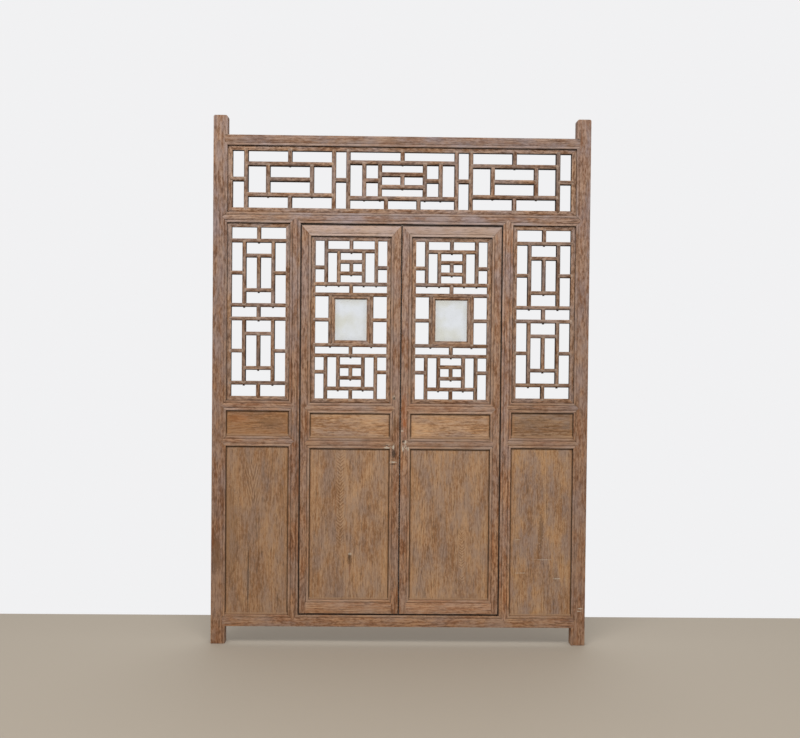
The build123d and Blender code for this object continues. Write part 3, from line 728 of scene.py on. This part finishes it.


# the edges of a panel's open field: painted bounce light along the sides, a painted shadow line at the sides
# and the top, painted light along the bottom
def panelRim(hand, plain, front):
    isLeaf = plain.startswith("leaf")
    uprights = ("_leaf_hinge_stile", "_leaf_meeting_stile") if isLeaf else ("_post", "_jamb")
    outer, inner = between(hand, *uprights, True)
    bay = hand + "_" + plain.split("_")[0]
    if "small" in plain:
        above, below = bay + "_upper_rail", bay + "_lower_rail"
    else:
        above, below = bay + "_lower_rail", bay + "_bottom_rail" if isLeaf else "bottom_rail"
    side = rimSettings["side"]
    wide = bounceLightSettings["width"]
    dirt = {"Front": front, "Ragged": rimSettings["ragged"], "Left Edge": outer, "Left Width": side,
            "Right Edge": inner, "Right Width": side, "Top Edge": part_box(above)[0].z,
            "Top Width": rimSettings["top"], "Bottom Edge": noEdge}
    bounceLight = {**dirt, "Top Edge": noEdge, "Left Width": wide, "Right Width": wide}
    dust = {"Front": front, "Left Edge": noEdge, "Right Edge": noEdge, "Top Edge": noEdge,
            "Bottom Edge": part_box(below)[1].z, "Bottom Width": bottomLightSettings["width"]}
    return [{**bounceLightSettings, "edges": bounceLight}, {**rimSettings, "edges": dirt}, {**bottomLightSettings, "edges": dust}]


firstSeed = 1.0
seedStep = 1.37


def dressSolidPieces():
    seed = firstSeed
    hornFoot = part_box("top_rail")[1].z + hornSettings["beadAbove"]
    for name in nodes:
        plain = name.removeprefix("left_").removeprefix("right_")
        if plain not in solidPieces:
            continue
        row = {**solidPieces[plain], **ownLooks.get(name, {})}
        low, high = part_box(name)
        centre, half = (low + high) / 2, (high - low) / 2
        material = newMaterial(name + "_wood")
        tree = material.node_tree
        row.update(beadEdges=beadEdges(name, row, half), front=-half.y, face=low.y, marks=marks.get(name, ()),
                   columns=grainColumns.get(name, ()), beadReach=everywhere)
        if plain == "post":
            row["beadReach"] = hornFoot - centre.z
        hand = name.split("_")[0]
        if plain in seamPieces:
            row["rims"] = leafSeam(hand, low.y)
        if row["finish"] == "panel":
            row["rims"] = panelRim(hand, plain, low.y)
            row["dirt"] = panelShadeAndDirt(tree, low, woodFinishes["panel"]["dirt"])
        woodShade(material, row["finish"], grainPlace(tree, centre, row["along"]), seed, row)
        dress(name, material)
        seed += seedStep


dressSolidPieces()
print("solid pieces dressed")

# the bars get strong painted shade on their sides
latticeLook = {"sideGrime": 0.85}
mitreSeeds = {"first": 40, "step": 2.3}
barShade = {"most": 0.34, "nub": 0.62}  # how much darker the darkest bars and the tenon ends are


# how far a place is from the sides and from the ends of a frame or a pane
def toEdges(axes, half):
    return minus(half.x, calc("ABSOLUTE", axes["X"])), minus(half.z, calc("ABSOLUTE", axes["Z"]))


# a mitred frame: level members near the top and bottom, upright members near the sides
def dressMitredFrame(name, finish, seed):
    low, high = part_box(name)
    centre, half = (low + high) / 2, (high - low) / 2
    material = newMaterial(name + "_wood")
    tree = material.node_tree
    upright = grainPlace(tree, centre, "z")
    level = grainPlace(tree, centre, "x")
    isUpright = calc("LESS_THAN", *toEdges(axesOf(upright), half))
    place = put(tree, "ShaderNodeMix", {0: isUpright, 4: level, 5: upright}, data_type="VECTOR").outputs[1]
    woodShade(material, finish, place, seed, latticeLook)
    dress(name, material)


for index, name in enumerate(sorted(nodes)):
    if name.endswith("_border") or name.endswith("_pane_frame"):
        dressMitredFrame(name, "lattice", mitreSeeds["first"] + mitreSeeds["step"] * index)
print("mitred frames dressed")


def boxOf(places):
    low = Vector([min(place[axis] for place in places) for axis in range(3)])
    high = Vector([max(place[axis] for place in places) for axis in range(3)])
    return low, high


# vertex places of the separate bars in a lattice node
def barIslands(name):
    mesh = bmesh.new()
    mesh.from_mesh(nodes[name].data)
    bmesh.ops.remove_doubles(mesh, verts=mesh.verts, dist=1e-6)
    left = set(mesh.verts)
    islands = []
    while left:
        todo = [left.pop()]
        island = []
        while todo:
            vertex = todo.pop()
            island.append(vertex.co.copy())
            for edge in vertex.link_edges:
                other = edge.other_vert(vertex)
                if other in left:
                    left.remove(other)
                    todo.append(other)
        islands.append(island)
    mesh.free()
    return sorted(islands, key=lambda island: tuple(round(value, 4) for value in boxOf(island)[0]))


# what goes into the tree as it is, in metres and radians
barInputs = {"Front Round": 0.0048, "Back Round": 0.0012, "Round Steps": 4, "Rings": 10, "Waver": 0.0007,
             "Smooth Angle": math.radians(35.0), "Seed": 5.0}
# each side of a bar is fuller than the solid's by this much, about what shows in the picture
latticeSettings = {"fuller": 0.0007, "frontDepth": 0.004, "nubOverlap": 0.002}
barSeeds = {"lattice": 50, "bar": 1.7}
driftSettings = {"scale": 11.0, "detail": 2.0}
levelTurn = math.pi / 2


# tree that sets a rounded bar on each point, as long and turned as the point says, and a stub on each nub
def buildBarTree():
    tree = bpy.data.node_groups.new("latticeBars", "GeometryNodeTree")
    takes = {"Geometry": "Geometry", "Width": "Float", "Depth": "Float", "Front Round": "Float",
             "Back Round": "Float", "Round Steps": "Int", "Rings": "Int", "Nub Width": "Float",
             "Nub Depth": "Float", "Waver": "Float", "Seed": "Float", "Smooth Angle": "Float",
             "Upright Wood": "Material", "Level Wood": "Material"}
    for label, kind in takes.items():
        tree.interface.new_socket(label, in_out="INPUT", socket_type="NodeSocket" + kind)
    tree.interface.new_socket("Geometry", in_out="OUTPUT", socket_type="NodeSocketGeometry")
    given = put(tree, "NodeGroupInput").outputs

    def make(kind, inputs=None, **settings):
        return put(tree, kind, inputs, **settings).outputs[0]

    def named(label):
        return make("GeometryNodeInputNamedAttribute", {"Name": label}, data_type="FLOAT")

    # section: a rectangle whose two front corners are rounded far over
    inputs = {"Width": given["Width"], "Height": given["Depth"]}
    outline = make("GeometryNodeCurvePrimitiveQuadrilateral", inputs)
    corner = axesOf(make("GeometryNodeInputPosition"))
    isFront = calc("LESS_THAN", corner["Y"], 0.0)
    radius = make("ShaderNodeMix", {0: isFront, 2: given["Back Round"], 3: given["Front Round"]})
    inputs = {"Curve": outline, "Count": given["Round Steps"], "Radius": radius, "Limit Radius": True}
    section = make("GeometryNodeFilletCurve", inputs, mode="POLY")
    # bar of unit length, cut into rings along Z
    line = make("GeometryNodeCurvePrimitiveLine", {"Start": (0, 0, -0.5), "End": (0, 0, 0.5)})
    line = make("GeometryNodeResampleCurve", {"Curve": line, "Count": given["Rings"]})
    line = make("GeometryNodeSetCurveNormal", {"Curve": line, "Normal": (1, 0, 0)}, mode="FREE")
    bar = make("GeometryNodeCurveToMesh", {"Curve": line, "Profile Curve": section, "Fill Caps": True})
    nubSize = make("ShaderNodeCombineXYZ", {0: given["Nub Width"], 1: given["Nub Depth"], 2: 1.0})
    nub = make("GeometryNodeMeshCube", {"Size": nubSize})
    # one bar or nub on each point
    turn = named("barTurn")
    turned = make("ShaderNodeCombineXYZ", {1: turn})
    stretched = make("ShaderNodeCombineXYZ", {0: 1.0, 1: 1.0, 2: named("barLength")})
    isNub = make("FunctionNodeCompare", {0: named("barNub"), 1: 0.5}, operation="GREATER_THAN")
    isBar = make("FunctionNodeBooleanMath", {0: isNub}, operation="NOT")
    joined = put(tree, "GeometryNodeJoinGeometry")
    for shape, chosen in ((bar, isBar), (nub, isNub)):
        inputs = {"Points": given["Geometry"], "Selection": chosen, "Instance": shape, "Rotation": turned,
                  "Scale": stretched}
        link(make("GeometryNodeInstanceOnPoints", inputs), joined.inputs[0])
    solid = make("GeometryNodeRealizeInstances", {0: joined.outputs[0]})
    # hand-cut bars are never quite straight
    inputs = {"W": plus(named("barSeed"), given["Seed"]), "Scale": driftSettings["scale"],
              "Detail": driftSettings["detail"]}
    drift = put(tree, "ShaderNodeTexNoise", inputs, noise_dimensions="4D").outputs["Color"]
    drift = scaled(centred(drift), given["Waver"])
    solid = make("GeometryNodeSetPosition", {"Geometry": solid, "Offset": drift})
    sharp = make("GeometryNodeInputMeshEdgeAngle")
    isSmooth = make("FunctionNodeCompare", {0: sharp, 1: given["Smooth Angle"]}, operation="LESS_THAN")
    solid = make("GeometryNodeSetShadeSmooth", {0: solid, "Selection": isSmooth}, domain="EDGE")
    isLevel = make("FunctionNodeCompare", {0: turn, 1: levelTurn / 2}, operation="GREATER_THAN")
    solid = make("GeometryNodeSetMaterial", {"Geometry": solid, "Material": given["Upright Wood"]})
    inputs = {"Geometry": solid, "Selection": isLevel, "Material": given["Level Wood"]}
    put(tree, "NodeGroupOutput", {0: make("GeometryNodeSetMaterial", inputs)})
    return tree


barTree = buildBarTree()


# the evaluated tree as a plain mesh piece
def bakedPiece(name, points, tree, values):
    mesh = bpy.data.meshes.new(name + "_points")
    mesh.from_pydata([row["at"] for row in points], [], [])
    for label in ("barTurn", "barLength", "barSeed", "barNub"):
        attribute = mesh.attributes.new(label, "FLOAT", "POINT")
        attribute.data.foreach_set("value", [row[label] for row in points])
    holder = newObject(name + "_points", mesh)
    modifier = holder.modifiers.new("bars", "NODES")
    modifier.node_group = tree
    sockets = {item.name: item.identifier for item in tree.interface.items_tree if item.in_out == "INPUT"}
    for label, value in values.items():
        modifier[sockets[label]] = value
    bpy.context.view_layer.update()
    evaluated = holder.evaluated_get(bpy.context.evaluated_depsgraph_get())
    baked = bpy.data.meshes.new_from_object(evaluated)
    baked.name = name
    holder.modifiers.clear()
    bpy.data.objects.remove(holder)
    return newObject(name, baked)


# boxes of a lattice's bars at their fronts, and of the tenon ends that hang below them, each with its seed
def measureBars(name, index, front):
    bars = []
    nubs = []
    for number, island in enumerate(barIslands(name)):
        seed = index * barSeeds["lattice"] + number * barSeeds["bar"]
        low, high = boxOf([place for place in island if place.y < front + latticeSettings["frontDepth"]])
        bars.append((low, high, seed))
        hanging = [place for place in island if place.z < low.z - latticeSettings["nubOverlap"]]
        if hanging:
            nubs.append((*boxOf(hanging), seed))
    return bars, nubs


# wood of the upright or the level bars, each bar with its own grain and shade
def barWood(name, centre, along):
    material = newMaterial(f"{name}_{along}_wood")
    tree = material.node_tree
    place = grainPlace(tree, centre, along)
    barSeed = put(tree, "ShaderNodeAttribute", attribute_name="barSeed").outputs["Fac"]
    chance = put(tree, "ShaderNodeTexWhiteNoise", {"W": barSeed}, noise_dimensions="1D").outputs["Value"]
    isNub = put(tree, "ShaderNodeAttribute", attribute_name="barNub").outputs["Fac"]
    shade = weighted(((chance, barShade["most"]), (isNub, barShade["nub"])))
    return woodShade(material, "lattice", place, barSeed, {**latticeLook, "shade": shade})


# bars of one lattice, carried on to the middle of the bars that they meet, and the tenon ends below them
def rebuildLattice(name, index):
    fuller = latticeSettings["fuller"]
    boxLow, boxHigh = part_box(name)
    front, back = boxLow.y, boxHigh.y
    bars, nubs = measureBars(name, index, front)
    width = min(min(high.x - low.x, high.z - low.z) for low, high, seed in bars)
    points = []
    for low, high, seed in bars:
        size = high - low
        middle = (low + high) / 2
        turn = levelTurn if size.x > size.z else 0.0
        points.append({"at": (middle.x, (front + back) / 2, middle.z), "barNub": 0.0, "barSeed": seed,
                       "barTurn": turn, "barLength": max(size.x, size.z) + width})
    nubSize = nubs[0][1] - nubs[0][0]
    for low, high, seed in nubs:
        end = low.z - fuller
        top = low.z + width  # a nub reaches up into the bar above it
        points.append({"at": ((low.x + high.x) / 2, (low.y + high.y) / 2, (end + top) / 2), "barNub": 1.0,
                       "barSeed": seed, "barTurn": 0.0, "barLength": top - end})
    upright, level = (barWood(name, (boxLow + boxHigh) / 2, along) for along in "zx")
    values = {**barInputs, "Width": width + 2 * fuller, "Depth": back - front,
              "Nub Width": nubSize.x + 2 * fuller, "Nub Depth": nubSize.y,
              "Upright Wood": upright, "Level Wood": level}
    piece = bakedPiece(name.replace("_bars", "_rods"), points, barTree, values)
    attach(piece, bodyOf[name])
    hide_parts(name)
    print("lattice", name, len(bars), "bars", len(nubs), "nubs", len(piece.data.polygons), "faces")


for index, name in enumerate(sorted(name for name in nodes if name.endswith("_lattice_bars"))):
    rebuildLattice(name, index)


# old panes, unevenly tinted from clean to cast, with a film of dust, more at the rim, and specks; metres
paneSettings = {"film": 0.10, "rim": 0.30, "rimWidth": 0.030, "rimFull": 0.004, "specks": 0.45,
                "clean": (0.86, 0.885, 0.91, 1), "cast": (0.78, 0.78, 0.70, 1), "dust": (0.56, 0.54, 0.50, 1),
                "smooth": 0.03, "dustRough": 0.6, "bending": 1.45}
paneNoise = {"film": (26.0, 5.0), "specks": (240.0, 1.0), "tint": (9.0, 3.0)}  # scale and detail
paneLimits = {"film": (0.35, 0.7), "specks": (0.68, 0.74), "tint": (0.36, 0.68)}


def dressGlass():
    look = paneSettings
    for name in ("left_leaf_glass", "right_leaf_glass"):
        low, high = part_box(name)
        centre, half = (low + high) / 2, (high - low) / 2
        material = newMaterial(name + "_pane")
        tree = material.node_tree
        coords = objectPlace(tree)
        noise = {label: noiseAt(coords, *row) for label, row in paneNoise.items()}
        share = {label: ease(noise[label], *row) for label, row in paneLimits.items()}
        axes = axesOf(vectorCalc("SUBTRACT", coords, centre))
        edge = calc("MINIMUM", *toEdges(axes, half))
        edge = plus(edge, waver(noise["film"], look["rimWidth"]))
        share["rim"] = lessThan(edge, look["rimFull"], look["rimWidth"])
        dust = weighted([(share[label], look[label]) for label in ("film", "rim", "specks")])
        pane = mixed(share["tint"], look["clean"], look["cast"])
        shader = tree.nodes["Principled BSDF"]
        link(mixed(dust, pane, look["dust"]), shader.inputs["Base Color"])
        rough = plus(look["smooth"], times(dust, look["dustRough"]))
        link(rough, shader.inputs["Roughness"])
        shader.inputs["Transmission Weight"].default_value = 1.0
        shader.inputs["IOR"].default_value = look["bending"]
        dress(name, material)


dressGlass()
print("glass dressed")

stageSettings = {"sideReach": 2.6, "frontReach": 2.4, "backReach": 0.5, "floorColor": (0.30, 0.262, 0.215, 1),
                 "floorRough": 0.7, "backdropColor": (0.88, 0.88, 0.89, 1), "skyColor": (1.0, 0.985, 0.96, 1),
                 "skyTop": 1.0, "skyLow": 0.22, "skyRise": (-0.1, 0.9)}


def buildStage():
    look = stageSettings
    side, near, far = look["sideReach"], -look["frontReach"], look["backReach"]
    mesh = bpy.data.meshes.new("floor")
    mesh.from_pydata([(-side, near, 0), (side, near, 0), (side, far, 0), (-side, far, 0)], [], [(0, 1, 2, 3)])
    floor = newObject("floor", mesh)
    material = newMaterial("floor_plain")
    shader = material.node_tree.nodes["Principled BSDF"]
    shader.inputs["Base Color"].default_value = look["floorColor"]
    shader.inputs["Roughness"].default_value = look["floorRough"]
    mesh.materials.append(material)
    world = bpy.data.worlds.new("studio")
    world.use_nodes = True
    scene.world = world
    tree = world.node_tree
    tree.nodes.clear()
    # the light comes from overhead; what is seen straight or through glass is a plain pale ground
    heading = axesOf(put(tree, "ShaderNodeTexCoord").outputs["Generated"])
    share = ease(heading["Z"], *look["skyRise"])
    strength = plus(look["skyLow"], times(share, look["skyTop"] - look["skyLow"]))
    seen = put(tree, "ShaderNodeBackground", {"Color": look["backdropColor"], "Strength": 1.0}).outputs[0]
    fill = put(tree, "ShaderNodeBackground", {"Color": look["skyColor"], "Strength": strength}).outputs[0]
    path = put(tree, "ShaderNodeLightPath").outputs
    isSeen = calc("MAXIMUM", path["Is Camera Ray"], path["Is Transmission Ray"])
    sky = put(tree, "ShaderNodeMixShader", {0: isSeen, 1: fill, 2: seen}).outputs[0]
    put(tree, "ShaderNodeOutputWorld", {"Surface": sky})


# one large soft light from high in front, as in a room with a skylight, and a weaker one behind
lightSettings = {
    "softbox": {"place": (-0.4, -3.4, 5.2), "wide": 4.1, "tall": 2.2, "power": 250.0},
    "fill": {"place": (0.6, 3.8, 4.6), "wide": 4.1, "tall": 2.2, "power": 50.0},
}
lightAim = (0.0, 0.0, 1.0)
lightColor = (1.0, 0.98, 0.95)


def buildLights():
    for name, row in lightSettings.items():
        light = bpy.data.lights.new(name, "AREA")
        light.shape = "RECTANGLE"
        light.size = row["wide"]
        light.size_y = row["tall"]
        light.energy = row["power"]
        light.color = lightColor
        lamp = newObject(name, light)
        lamp.location = row["place"]
        lamp.rotation_euler = (Vector(lightAim) - lamp.location).to_track_quat("-Z", "Y").to_euler()


# where the picture was taken from: metres and degrees
cameraSettings = {"place": (-0.0850, -5.0293, 1.3733), "yaw": 0.939, "pitch": -1.292, "roll": 0.566,
                  "focalPixels": 1100.0, "pictureWidth": 800.0, "sensor": 36.0}


def buildCamera():
    look = cameraSettings
    camera = bpy.data.cameras.new("camera")
    camera.sensor_width = look["sensor"]
    camera.lens = look["sensor"] * look["focalPixels"] / look["pictureWidth"]
    holder = newObject("camera", camera)
    yaw, pitch, roll = (math.radians(look[label]) for label in ("yaw", "pitch", "roll"))
    level = Matrix.Rotation(-yaw, 4, "Z") @ Matrix.Rotation(math.pi / 2 + pitch, 4, "X")
    holder.matrix_world = Matrix.Translation(look["place"]) @ level @ Matrix.Rotation(roll, 4, "Z")
    scene.camera = holder


buildStage()
buildLights()
buildCamera()
scene.view_settings.view_transform = "Standard"
print("stage, light and camera set")
